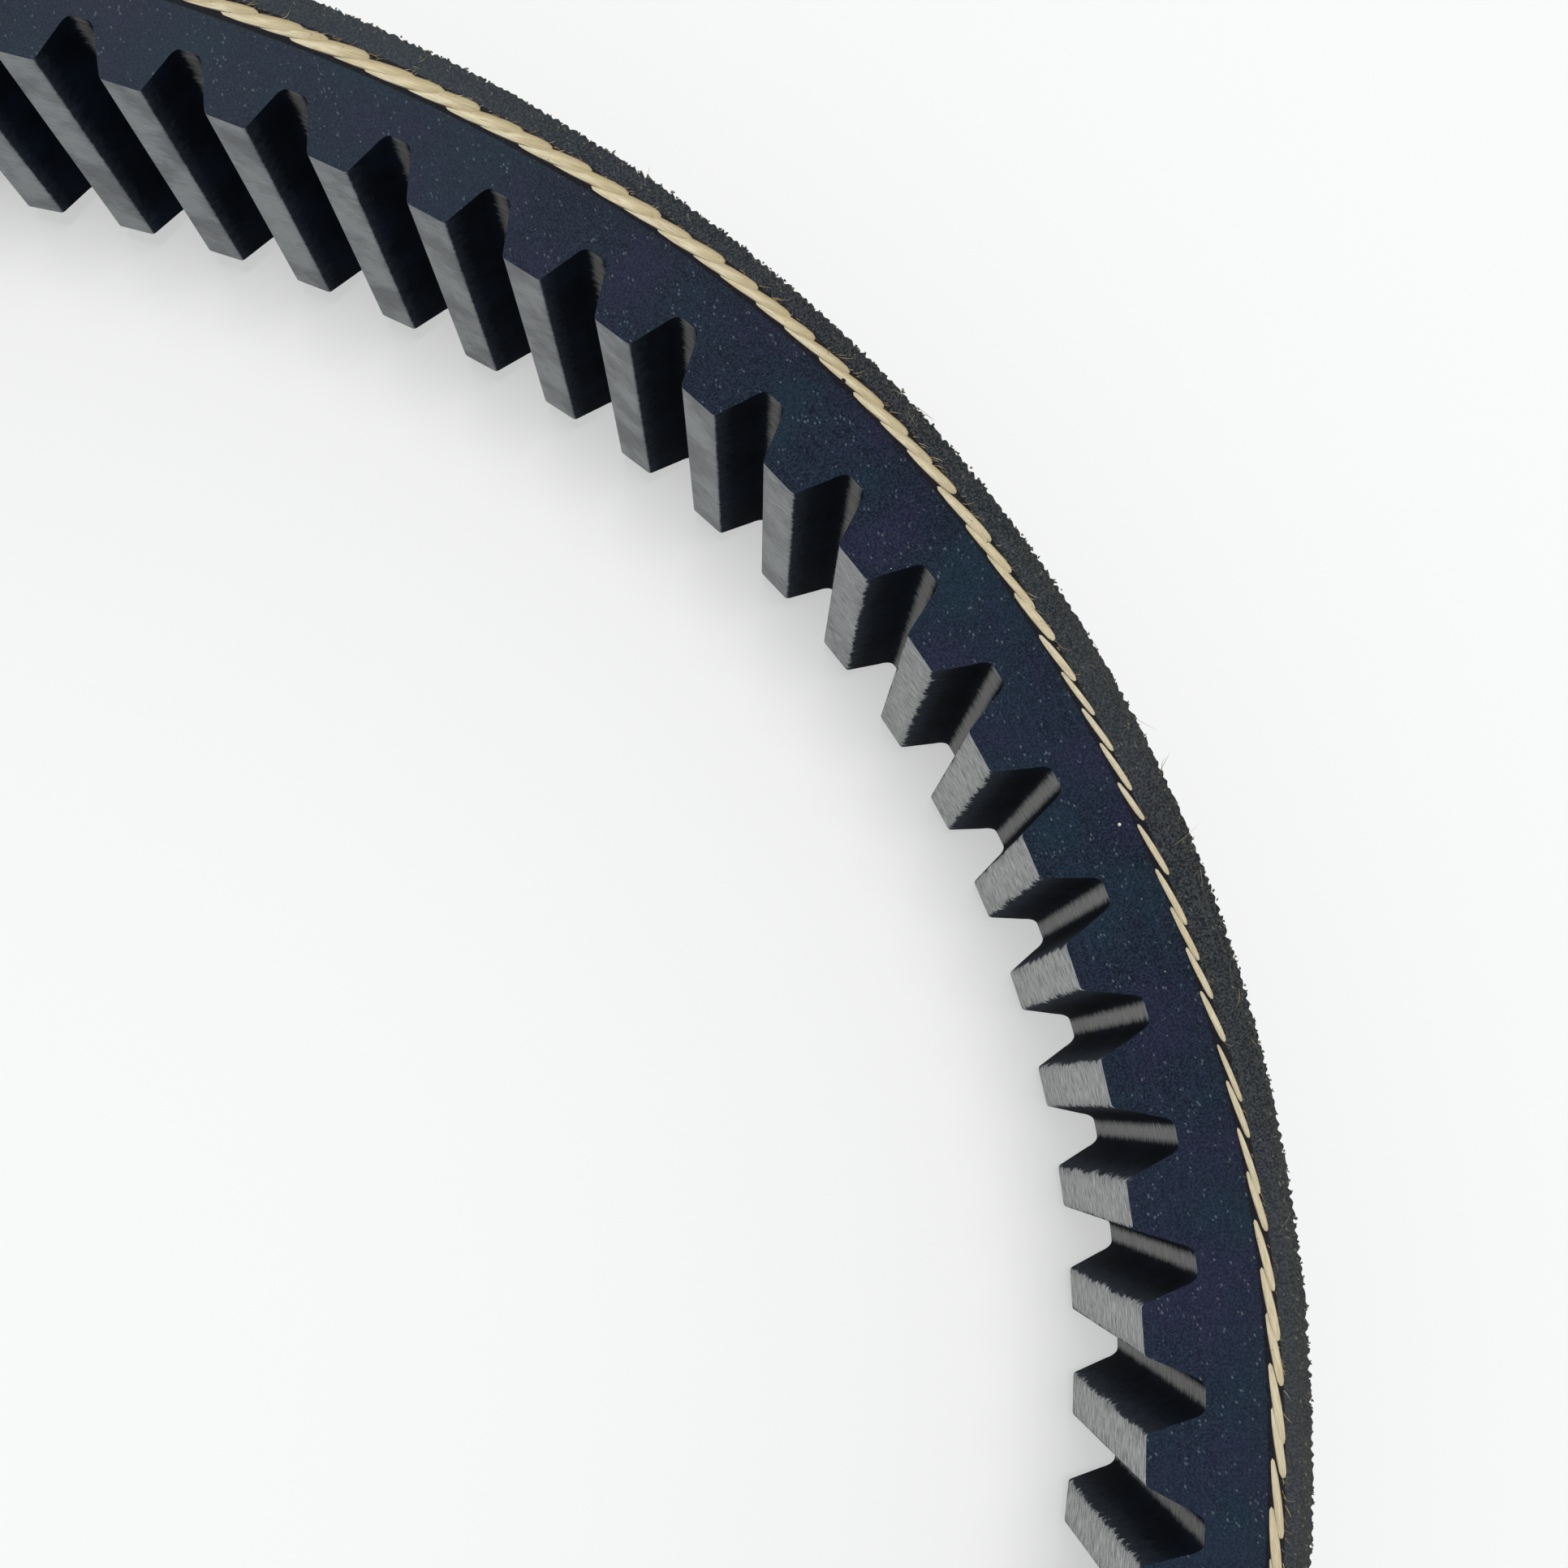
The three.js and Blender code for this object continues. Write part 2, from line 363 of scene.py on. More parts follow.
# %% [markdown]
# ## Ground rubber on the flanks
# The flanks are ground to their angle after curing. That leaves a dry, sandy, blue-black face with
# short chopped fibres in it, some of them pale, and in places fine lines that run round the belt where
# the stone passed. The colour drifts slowly between charcoal and navy, with a teal and violet cast in
# patches, and turns greyer towards the far side of the loop (high Y). Relief comes from two grain
# sizes. One recipe serves every rubber layer and the cut edge of the fabric; what differs, such
# as how brown the fibres near the back are, comes in as arguments. Beside the cord the rubber is
# darker, partly as darker adhesive and partly as painted shade in the slits between the cord's
# slices.

# %% Ground rubber recipe
TEAL_CAST, VIOLET_CAST = paint(6, 44, 52), paint(36, 24, 56)
FAR_SIDE_GREY, CORD_STAIN_AND_SHADE = paint(64, 72, 80), paint(18, 15, 16)
DRIFT_CELLS, PATCH_CELLS, COARSE_CELLS, FINE_CELLS = 38.0, 190.0, 2100.0, 8200.0    # in a metre


def ground_rubber(name, dark, light, fibre, fibre_share=0.545, cast=0.6, beside_cord=False):
    """Dry ground rubber: dark to light by a slow drift, teal and violet patches, fine grain, a grey
    cast towards the far side of the loop, grinding lines along the belt, and specks where a rare
    noise is above fibre_share. beside_cord darkens what lies within half the cord's width of its
    line, partly as darker adhesive and partly as painted shade between the cord's slices."""
    f = Finish(name)
    place = f.place()
    middle = tuple((a + b) / 2 for a, b in zip(dark, light))
    base = f.mix(f.step(f.noise(place, DRIFT_CELLS, 3.0), 0.36, 0.66), dark, middle)
    patches = f.noise(place, PATCH_CELLS, 4.0, 0.62)
    base = f.mix(f.step(patches, 0.50, 0.66) * cast, base, TEAL_CAST)
    base = f.mix(f.step(patches, 0.50, 0.36) * cast, base, VIOLET_CAST)
    grain = f.noise(place, FINE_CELLS, 2.0, 0.6)
    coarse = f.noise(place, COARSE_CELLS, 3.0)
    base = f.mix(f.step(grain + coarse * 0.15, 0.46, 0.72) * 0.8, base, light)
    # Greyer towards the far side of the loop (high Y).
    far_side_share = f.step(f.node("ShaderNodeSeparateXYZ", None, {"Vector": place}, "Y"), 0.02, 0.07)
    base = f.mix(far_side_share * 0.4, base, FAR_SIDE_GREY)
    lines = f.noise(f.stretched(f.node("ShaderNodeUVMap", {"uv_map": "belt_map"}),
                                (0.09, 8.0, 1.0)), 1.0, 3.0)
    line_place = f.step(f.noise(place, 14.0, 1.0), 0.42, 0.62)
    base = f.mix(f.step(lines, 0.50, 0.72) * line_place * 0.6, base, light)
    speck = f.node("ShaderNodeTexVoronoi", {"feature": "F1"},
                   {"Vector": f.stretched(place, (1.0, 0.6, 0.4)), "Scale": 4600.0}, "Distance")
    rare = f.step(f.noise(place, 1700.0, 2.0), fibre_share, fibre_share + 0.04)
    specks = f.step(speck, 0.34, 0.12) * rare
    base = f.mix(specks * 0.7, base, fibre)
    if beside_cord:
        # Painted shade in the slits between the cord's slices, on top of the darker adhesive.
        beyond = f.size_of(f.carried("from_cord")) - f.carried("cord_half")
        base = f.mix(f.step(beyond, 0.06, -0.04) * 0.8, base, CORD_STAIN_AND_SHADE)
    relief = f.bump(grain + coarse * 1.1 + lines * line_place * 0.4, 0.00010, 0.6)
    return f.shade(base, f.step(grain, 0.3, 0.7, 0.92, 0.74), relief, specular=0.22)


flank_rubber = ground_rubber("ground_compression_rubber", paint(10, 19, 34), paint(38, 50, 69),
                             paint(100, 112, 120))
inner_bed_rubber = ground_rubber("ground_bed_rubber", paint(10, 19, 33), paint(38, 49, 66),
                                 paint(100, 108, 110), beside_cord=True)
cord_bed_rubber = ground_rubber("ground_adhesion_rubber", paint(24, 26, 30), paint(72, 76, 78),
                                paint(108, 108, 98), 0.58, 0.2, beside_cord=True)
print("ground rubber finishes ready")

# %% [markdown]
# ## Moulded rubber of the cogs
# The cogs are not ground: they come out of a mould, so they are smoother and tighter than the flanks.
# Only the flat tips and the narrow valley floors, which the mould's fabric and the pulleys rub, have
# turned grey, with fine streaks along the belt and a ragged border where the grey stops. The sides
# between stay blue-black, with painted light on their upper part near the tips, where the next
# cog shades them less. The height above the tips and the distance from the cog's middle, kept on
# every point, tell which is which. Round the loop the tips carry both wear and painted light: on
# the near side (low Y) they are rubbed and painted paler, with strong streaks, and on the far side
# they carry painted shade and are smoother and cloudy.

# %% Moulded rubber recipe
moulded = Finish("moulded_cog_rubber")
moulded_place = moulded.place()
moulded_map = moulded.node("ShaderNodeUVMap", {"uv_map": "belt_map"})
streaks = moulded.noise(moulded.stretched(moulded_map, (1.1, 8.5, 1.0)), 1.0, 4.0, 0.65)
fine_grain = moulded.noise(moulded_place, 2600.0, 3.0, 0.6)
ragged = moulded.noise(moulded_place, 2100.0, 3.0, 0.7)
cog_height, from_middle = moulded.carried("height"), moulded.carried("from_cog_middle")
smears = moulded.noise(moulded.stretched(moulded_map, (0.7, 3.2, 1.0)), 1.0, 5.0, 0.7)
clouds = moulded.noise(moulded_place, 260.0, 3.0)
from_front = moulded.node("ShaderNodeSeparateXYZ", None, {"Vector": moulded_place}, "Y")
# Near side (low Y): wear and painted light, paler tips. Far side: painted shade, less wear.
near_wear_and_light, far_shade_and_less_wear = moulded.step(from_front, 0.034, 0.0), moulded.step(from_front, 0.0, 0.034)
wander = (ragged - 0.5) * (0.12 + near_wear_and_light * 0.8) + (clouds - 0.5) * near_wear_and_light * 0.5
tip_share = moulded.step(from_middle + wander, 1.30, 1.16) * moulded.step(cog_height, 0.5, 0.2)
floor_share = moulded.step(from_middle + (ragged - 0.5) * 0.4 + (smears - 0.5) * 0.8, 2.75, 3.3)
side_colour = moulded.mix(moulded.step(clouds, 0.35, 0.7), paint(3, 8, 16), paint(10, 19, 32))
# Painted light: the sides are paler near the tips, where the next cog shades them less.
painted_light_near_tip = moulded.step(cog_height + (ragged - 0.5) * 1.6 + far_shade_and_less_wear * 0.5, 1.6, 0.0)
side_colour = moulded.mix(painted_light_near_tip * 0.55, side_colour, paint(60, 67, 76))
pattern = streaks * (0.25 + near_wear_and_light * 0.75) + clouds * far_shade_and_less_wear * 0.75
tip_colour = moulded.mix(moulded.step(pattern, 0.38, 0.60),
                         paint(66, 71, 76), paint(118, 122, 124))
# Pale streaks on the near side only: part wear, part painted light.
tip_colour = moulded.mix(near_wear_and_light * moulded.step(streaks, 0.44, 0.56) * 0.9, tip_colour,
                         paint(176, 177, 172))
tip_scuff = moulded.step(smears + ragged * 0.25 + moulded.step(from_middle, 0.4, 1.25) * 0.08,
                         0.64, 0.76)
tip_colour = moulded.mix(tip_scuff * (0.25 + near_wear_and_light * 0.5), tip_colour, paint(48, 52, 58))
floor_colour = moulded.mix(moulded.step(smears, 0.36, 0.62),
                           paint(34, 38, 41), paint(92, 92, 84))
rubbed_colour = moulded.mix(floor_share, tip_colour, floor_colour)
cog_relief = moulded.bump(streaks * 0.6 + fine_grain * 0.7, 0.00005, 0.6)
matt = moulded.node("ShaderNodeBsdfPrincipled", None, {
    "Base Color": side_colour, "Roughness": 0.88, "Specular IOR Level": 0.05,
    "Normal": cog_relief})
rubbed = moulded.node("ShaderNodeBsdfPrincipled", None, {
    "Base Color": rubbed_colour, "Roughness": moulded.step(streaks, 0.3, 0.7, 0.52, 0.36),
    "Specular IOR Level": 0.55, "Normal": cog_relief})
either = moulded.node("ShaderNodeMixShader", None,
                      {0: moulded.larger(tip_share, floor_share), 1: matt, 2: rubbed})
moulded.node("ShaderNodeOutputMaterial", None, {"Surface": either})
moulded_rubber = moulded.material
print("moulded rubber finish ready")

# %% [markdown]
# ## The cogged compression rubber
# Half a cog is drawn once as a line of points: flat tip, small round, straight side, a rounded run into
# the narrow valley floor. Mirrored and repeated it gives the inner line of the ring. A cog is square to
# the path at its own middle and a valley floor at the border between cogs, so each point is worked out
# in both frames and a weight slides from one to the other through the round.

# %% Half a cog
COG_TIP, COG_FOOT, COG_FOOT_HEIGHT = 2.5, 4.3, 2.05
VALLEY_FLOOR, VALLEY_HEIGHT, TIP_ROUND = 0.9, 2.9, 0.2
FLAT_POINTS, TIP_STEPS, SIDE_STEPS, ROUND_STEPS = 4, 3, 5, 6


def curve_through(start, corner, end, count):
    """Points of the quadratic curve (1-u)^2 start + 2u(1-u) corner + u^2 end, without its start."""
    u = np.linspace(0, 1, count + 1)[1:, None]
    start, corner, end = np.array(start), np.array(corner), np.array(end)
    return (1 - u) ** 2 * start + 2 * u * (1 - u) * corner + u ** 2 * end


tip_corner = np.array([COG_TIP / 2, 0.0])
foot = np.array([COG_FOOT / 2, COG_FOOT_HEIGHT])
side_way = (foot - tip_corner) / np.linalg.norm(foot - tip_corner)
floor_corner = np.array([PITCH / 2 - VALLEY_FLOOR / 2, VALLEY_HEIGHT])
round_corner = foot + side_way * (VALLEY_HEIGHT - foot[1]) / side_way[1]
flat_end, side_start = tip_corner - (TIP_ROUND, 0), tip_corner + side_way * TIP_ROUND
flat = np.stack([np.linspace(0, flat_end[0], FLAT_POINTS), np.zeros(FLAT_POINTS)], -1)
tip_curve = curve_through(flat_end, tip_corner, side_start, TIP_STEPS)
side = side_start + (foot - side_start) * np.linspace(0, 1, SIDE_STEPS + 1)[1:, None]
valley_curve = curve_through(foot, round_corner, floor_corner, ROUND_STEPS)
half_cog = np.concatenate([flat, tip_curve, side, valley_curve, [[PITCH / 2, VALLEY_HEIGHT]]])
frame_weight = np.concatenate([np.zeros(len(half_cog) - ROUND_STEPS - 1),
                               np.linspace(1 / ROUND_STEPS, 1, ROUND_STEPS), [1.0]])
cog_line = np.concatenate([half_cog[:0:-1] * (-1, 1), half_cog[:-1]])
cog_weight = np.concatenate([frame_weight[:0:-1], frame_weight[:-1]])
print(len(cog_line), "points for each cog")

# %% Ring of cogs
cog_number = np.repeat(np.arange(COG_COUNT), len(cog_line)).astype(float)
shift, tip_to_point = np.tile(cog_line, (COG_COUNT, 1)).T
weight = np.tile(cog_weight, COG_COUNT)[:, None]
border = cog_number + np.where(shift < 0, -0.5, 0.5)
in_cog = belt_point(cog_number * PITCH, tip_to_point, 0.0, shift)
in_valley = belt_point(border * PITCH, tip_to_point, 0.0, shift - (border - cog_number) * PITCH)
cog_edge = (1 - weight) * in_cog + weight * in_valley
cog_s = cog_number * PITCH + shift

FLANK_ROWS, CROSS_ROWS = 4, 10
FACE_RUN = 23.0                                      # the inner face on the map, in mm
rise = np.linspace(0.0, 1.0, FLANK_ROWS)
outer_edge = belt_point(cog_s, ADHESION_HEIGHT, 0.0)
column_height = tip_to_point[:, None] + (ADHESION_HEIGHT - tip_to_point[:, None]) * rise
flank_points = cog_edge[:, None] + (outer_edge - cog_edge)[:, None] * rise[:, None]
upper, lower = flank_points.copy(), flank_points.copy()
upper[..., 2], lower[..., 2] = half_width(column_height), -half_width(column_height)
across_share = np.linspace(1, -1, CROSS_ROWS)[None, 1:-1]
inner_face = np.repeat(cog_edge[:, None], CROSS_ROWS - 2, 1)
inner_face[..., 2] = half_width(tip_to_point)[:, None] * across_share
inner_height = np.repeat(tip_to_point[:, None], CROSS_ROWS - 2, 1)
cogged_grid = np.concatenate([upper[:, ::-1], inner_face, lower], 1)
cogged_height = np.concatenate([column_height[:, ::-1], inner_height, column_height], 1)

# The map runs down the upper flank, across the inner face, and up the lower flank.
flank_run = np.linspace(0, ADHESION_HEIGHT, FLANK_ROWS)
cogged_across = np.concatenate([
    flank_run, ADHESION_HEIGHT + np.linspace(0, FACE_RUN, CROSS_ROWS)[1:-1],
    ADHESION_HEIGHT + FACE_RUN + flank_run, [2 * ADHESION_HEIGHT + 2 * FACE_RUN]])
GROUND, MOULDED = 0, 1
cogged_sides = np.array([GROUND] * (FLANK_ROWS - 1) + [MOULDED] * (CROSS_ROWS - 1)
                        + [GROUND] * FLANK_ROWS)
cogs = ring_piece("cogged_compression_body", cogged_grid,
                  np.append(cog_s, cog_s[0] + PITCH_LENGTH), cogged_across, cogged_sides,
                  {"height": cogged_height, "from_cog_middle": np.abs(shift)[:, None]}, 32.0)
settle(cogs, "cogged_compression_rubber", "compression_rubber", flank_rubber, moulded_rubber)

# %% [markdown]
# ## Where the cord runs on the flank
# The cord is wound with a slight lead, and the stone takes a little more here and a little less there,
# so its line on the flank drifts towards the back and towards the cogs, and grows broad and slender in
# turn. Two short tables say so, and both the cord and the rubber beside it follow them.

# %% The cord's line
# Width of the cord's line and its drift across the flank, every so many cogs from the +X end.
cord_cogs = np.array([-52, -44, -36, -28, -20, -14, -9, -6, -4.5, -3.5, -2.5, -1.2, 0, 1, 2, 3.5, 5,
                      6.5, 8, 10, 14, 20, 27, 34, 40, 46, 52])
cord_wide = np.array([0.85, 1.1, 0.6, 0.9, 1.2, 0.8, 0.7, 0.86, 0.8, 0.74, 0.6, 0.52, 0.54, 0.66,
                      0.82, 1.0, 1.08, 1.15, 1.22, 1.3, 1.25, 0.95, 0.65, 0.9, 1.1, 0.85, 0.85])
cord_off = np.array([0.1, -0.1, 0.2, 0, -0.15, 0.1, 0.15, 0.15, 0.12, 0.1, 0, -0.2, -0.3, -0.22,
                     -0.05, 0.2, 0.22, 0.05, -0.15, -0.3, -0.2, 0.1, 0.15, -0.1, 0.0, 0.15, 0.1])


def cord_line(s):
    """Width of the exposed cord and its offset from the cord height, at distance s, by straight
    lines between the tables' values."""
    cogs_away = np.mod(s / PITCH + COG_COUNT / 2, COG_COUNT) - COG_COUNT / 2
    return np.interp(cogs_away, cord_cogs, cord_wide), np.interp(cogs_away, cord_cogs, cord_off)


print("cord's line", cord_wide.min(), "to", cord_wide.max(), "mm wide")

# %% [markdown]
# ## The adhesion rubber
# Two plain bands of rubber hold the cord between them. Each is a ring whose section has four sides:
# the back, the upper flank, the front and the lower flank. The flanks carry extra rows, so that the
# stain beside the cord has points to follow.

# %% Plain bands
BAND_COLUMNS = 12 * COG_COUNT


def plain_band(name, low, high, rows=4):
    """Ring between two heights. Section: from high down the upper flank, then up the lower flank."""
    s = np.arange(BAND_COLUMNS) * (PITCH_LENGTH / BAND_COLUMNS)
    down = np.linspace(high, low, rows)
    h = np.concatenate([down, down[::-1]])
    grid = belt_point(s[:, None], h, np.concatenate([half_width(down), -half_width(down[::-1])]))
    run = np.linspace(0, high - low, rows)
    across = np.concatenate([run, 2 * HALF_BACK + run, [4 * HALF_BACK + high - low]])
    wide, off = cord_line(s)
    return ring_piece(name, grid, np.append(s, PITCH_LENGTH), across, np.zeros(2 * rows, int),
                      {"height": h, "from_cord": h - CORD_HEIGHT - off[:, None],
                       "cord_half": wide[:, None] / 2})


settle(plain_band("lower_adhesion_band", ADHESION_HEIGHT, CORD_HEIGHT),
       "lower_adhesion_rubber", "adhesion_rubber", inner_bed_rubber)
settle(plain_band("upper_adhesion_band", CORD_HEIGHT, INNER_PLY_HEIGHT),
       "upper_adhesion_rubber", "adhesion_rubber", cord_bed_rubber)

# %% [markdown]
# ## The back fabric
# Two plies of rubbered cloth cover the back. On the flanks they are cut through, so their yarn ends
# show as a dark band with brown and olive fibres, and along the rim the cut crossings of the weave
# stand out like the teeth of a fine saw. On the back itself the cloth is laid on the bias: the yarns
# cross at an angle to the belt, black with rubber, with their crowns rubbed a little greyer.

# %% Cut cloth and woven back
cut_cloth = ground_rubber("cut_fabric_edge", paint(27, 30, 35), paint(72, 73, 71),
                          paint(118, 113, 94), 0.50, 0.15)

back_cloth = Finish("rubbered_back_cloth")
back_place = back_cloth.place()
back_map = back_cloth.node("ShaderNodeUVMap", {"uv_map": "belt_map"})
bias = back_cloth.node("ShaderNodeMapping", None, {
    "Vector": back_map, "Rotation": (0.0, 0.0, math.radians(45.0))})
YARN_PITCH = 0.62                                    # mm on the map


def yarns(direction):
    """Parallel ridges one yarn pitch apart: a slightly uneven sine wave along one axis of the bias."""
    return back_cloth.node("ShaderNodeTexWave", {
        "wave_type": "BANDS", "bands_direction": direction}, {
        "Vector": bias, "Scale": math.pi / 10 / YARN_PITCH, "Distortion": 0.6, "Detail": 1.0,
        "Detail Scale": 1.0}, "Fac")


crown = yarns("X") * yarns("Y")
fuzz_noise = back_cloth.noise(back_place, 2400.0, 3.0, 0.65)
wear = back_cloth.step(back_cloth.noise(back_place, 60.0, 3.0), 0.35, 0.7)
cloth_colour = back_cloth.mix(back_cloth.step(crown, 0.15, 0.8),
                              paint(13, 14, 16), paint(46, 47, 46))
cloth_colour = back_cloth.mix(back_cloth.step(fuzz_noise, 0.6, 0.75) * wear * 0.7, cloth_colour,
                              paint(96, 92, 74))
cloth_relief = back_cloth.bump(crown + fuzz_noise * 0.35, 0.00016, 0.8)
back_fabric = back_cloth.shade(cloth_colour, 0.93, cloth_relief, specular=0.2, sheen=0.15)

settle(plain_band("inner_fabric_band", INNER_PLY_HEIGHT, OUTER_PLY_HEIGHT, 2),
       "inner_back_fabric_ply", "inner_fabric", cut_cloth)

# %% Ragged rim of the outer ply
TOOTH, HIDDEN_RUN = 0.55, 30.0                       # mm
rim_columns = 5200
rim_random = np.random.default_rng(11)
rim_s = np.arange(rim_columns) * (PITCH_LENGTH / rim_columns)


def wandering(count, knots, low, high, rng):
    """A closed, smoothly wandering series: random values at evenly spaced knots, joined by lines."""
    values = rng.uniform(low, high, knots)
    place = np.arange(count) * knots / count
    return np.interp(place, np.arange(knots + 1), np.append(values, values[0]))


def saw_rim(rng):
    """Depth of the rim's teeth in mm: rounded bumps one yarn apart, of uneven size and spacing."""
    phase = rim_s / TOOTH + wandering(rim_columns, 800, -0.3, 0.3, rng)
    bump = np.abs(np.sin(math.pi * phase)) ** 0.7
    size = wandering(rim_columns, 1290, 0.06, 0.36, rng)
    return size * (1 - bump) + wandering(rim_columns, rim_columns, 0.0, 0.07, rng)


rows_z = np.array([0.0, 0.12, 0.35, 0.8, 2.5, 6.5])  # inset from the rim across the back
fade = np.array([1.0, 0.8, 0.45, 0.15, 0.0, 0.0])
teeth_upper, teeth_lower = saw_rim(rim_random), saw_rim(rim_random)
back_h_upper = THICKNESS - teeth_upper[:, None] * fade
back_h_lower = (THICKNESS - teeth_lower[:, None] * fade)[:, ::-1]
rim_inset = wandering(rim_columns, 1500, 0.0, 0.12, rim_random)[:, None] * (rows_z == 0)
back_z_upper = HALF_BACK - rows_z - rim_inset
column = np.ones((rim_columns, 1))
outer_h = np.concatenate([
    column * OUTER_PLY_HEIGHT, column * OUTER_PLY_HEIGHT,
    back_h_lower[:, ::-1], back_h_upper[:, ::-1]], 1)
outer_z = np.concatenate([
    column * half_width(OUTER_PLY_HEIGHT), column * -half_width(OUTER_PLY_HEIGHT),
    -back_z_upper, back_z_upper[:, ::-1]], 1)
outer_grid = belt_point(rim_s[:, None], outer_h, outer_z)
outer_across = np.concatenate([[-HIDDEN_RUN, 0.0], PLY + rows_z, PLY + 2 * HALF_BACK - rows_z[::-1],
                               [2 * HALF_BACK + 2 * PLY]])
EDGE, BACK = 0, 1
outer_sides = np.array([EDGE, EDGE] + [BACK] * (2 * len(rows_z) - 1) + [EDGE])
outer_ply = ring_piece("outer_fabric_cover", outer_grid, np.append(rim_s, PITCH_LENGTH),
                       outer_across, outer_sides, {"height": outer_h}, 40.0)
settle(outer_ply, "outer_back_fabric_ply", "outer_fabric", cut_cloth, back_fabric)

# %% [markdown]
# ## The tension cord
# The cord is one long winding of twisted polyester. Grinding the flanks cuts into its outermost turn,
# so what shows is a row of slanting slices, one for each strand of the twist: each starts as a point at
# the inner edge of the cord's line, runs outwards and ends blunt on top of the next. Where the stone
# went deep the slices are broad and frayed, and where it only brushed the cord they are slender. A
# slice is a spindle: an ellipse whose half width swells and ends along the strand.

# %% Cord slices
SLICE_PITCH = 2.36                                   # from one slice to the next, in mm
slice_random = np.random.default_rng(5)
SLICE_RINGS, SLICE_SIDES = 7, 8


def cord_slices(name, flank, first, nicks, rng):
    """Spindles along one flank, +1 or -1. Half width = size * swell(u), and the middle line slants
    from the inner to the outer edge of the cord's line. nicks are the places and half widths of gaps
    where the strands are cut short."""
    count = int(round(PITCH_LENGTH / SLICE_PITCH))
    start = first + np.arange(count) * PITCH_LENGTH / count + rng.uniform(-0.3, 0.3, count)
    wide, off = cord_line(start)
    deep = np.clip((wide - 0.6) / 0.6, 0, 1)
    length = 3.8 + 1.6 * deep + rng.uniform(-0.5, 0.5, count)
    size = (0.165 + 0.225 * deep) * rng.uniform(0.84, 1.10, count)
    head, tail = start + length / 2, start - length / 2
    for nick, gap in nicks:
        crossed = (head > nick) & (tail < nick)
        tail = np.where(crossed & (start > nick), nick + gap, tail)
        head = np.where(crossed & (start <= nick), nick - gap, head)
    u = np.array([0.0, 0.08, 0.2, 0.38, 0.6, 0.8, 0.93, 0.985, 1.0])
    swell = np.array([0.0, 0.34, 0.62, 0.88, 1.0, 0.97, 0.80, 0.45, 0.0])
    s = head[:, None] + (tail - head)[:, None] * u
    off_u = cord_line(s)[1]
    slide = 0.26 + 0.07 * deep[:, None]
    h = CORD_HEIGHT + off_u + slide * (2 * u - 1) + rng.uniform(-0.04, 0.04, count)[:, None]
    sunk = -0.07 + 0.09 * np.sin(math.pi * np.clip(u * 1.1, 0, 1) / 2)
    angle = 2 * math.pi * np.arange(SLICE_SIDES) / SLICE_SIDES
    thick = (0.05 + 0.16 * size)[:, None] * swell
    dome = np.sign(np.sin(angle)) * np.abs(np.sin(angle)) ** 0.7
    half = size[:, None] * swell
    # The slant of the middle line turns the width direction a little along the belt.
    slant = np.gradient(h, axis=1) / np.gradient(s, axis=1)
    lean = 1 / np.sqrt(1 + slant ** 2)
    cross = np.cos(angle) * half[..., None]
    out = sunk[:, None] + dome * thick[..., None]
    point_s = s[..., None] - cross * (slant * lean)[..., None]
    point_h = h[..., None] + cross * lean[..., None]
    cos_flank = math.cos(math.atan(FLANK_SLOPE))
    z = (half_width(point_h) + out * cos_flank) * flank
    points = belt_point(point_s, point_h - out * FLANK_SLOPE * cos_flank, z)
    body = points[:, 1:-1]
    ends = points[:, [0, -1]].mean(2)
    vertices = np.concatenate([body.reshape(count, -1, 3), ends], 1)
    i, j = np.meshgrid(np.arange(SLICE_RINGS - 1), np.arange(SLICE_SIDES), indexing="ij")
    j2 = (j + 1) % SLICE_SIDES
    ring, next_ring = i * SLICE_SIDES, (i + 1) * SLICE_SIDES
    quads = np.stack([ring + j, ring + j2, next_ring + j2, next_ring + j], -1).reshape(-1, 4)
    last, k = (SLICE_RINGS - 1) * SLICE_SIDES, np.arange(SLICE_SIDES)
    k2, pole = (k + 1) % SLICE_SIDES, SLICE_RINGS * SLICE_SIDES
    caps = np.concatenate([np.stack([np.full(SLICE_SIDES, pole), k2, k], -1),
                           np.stack([np.full(SLICE_SIDES, pole + 1), last + k, last + k2], -1)])
    if flank < 0:
        quads, caps = quads[:, ::-1], caps[:, ::-1]
    each = vertices.shape[1]
    base = (np.arange(count) * each)[:, None, None]
    faces = (quads + base).reshape(-1, 4).tolist() + (caps + base).reshape(-1, 3).tolist()
    mesh = bpy.data.meshes.new(name)
    mesh.from_pydata((vertices * MM).reshape(-1, 3).tolist(), [], faces)
    mesh.polygons.foreach_set("use_smooth", np.ones(len(faces), bool))
    along = np.concatenate([np.repeat(u[1:-1], SLICE_SIDES), [0.0, 1.0]])
    around = np.concatenate([np.tile(np.cos(angle), SLICE_RINGS), [0.0, 0.0]])
    tint = np.repeat(rng.uniform(0, 1, count), each)
    broad = np.repeat(np.clip((wide - 0.75) / 0.3, 0, 1), each)
    for key, values in (("along", np.tile(along, count)), ("around", np.tile(around, count)),
                        ("tint", tint), ("broad", broad)):
        mesh.attributes.new(key, "FLOAT", "POINT").data.foreach_set(
            "value", values.astype(np.float32))
    piece = bpy.data.objects.new(name, mesh)
    bpy.context.scene.collection.objects.link(piece)
    print(name, len(faces), "faces,", count, "slices")
    return piece


# %% [markdown]
# ## Cord finish
# Raw polyester cord is cream. Every slice shows its filaments as fine lines along its length. Its
# edges are browner, partly tanned by the adhesive and partly as painted shade at the outline, and
# in the broad, frayed stretches the outer end is duller and browner. Numbers kept on each point say
# how far along and around its slice it lies, so the pattern follows every strand.

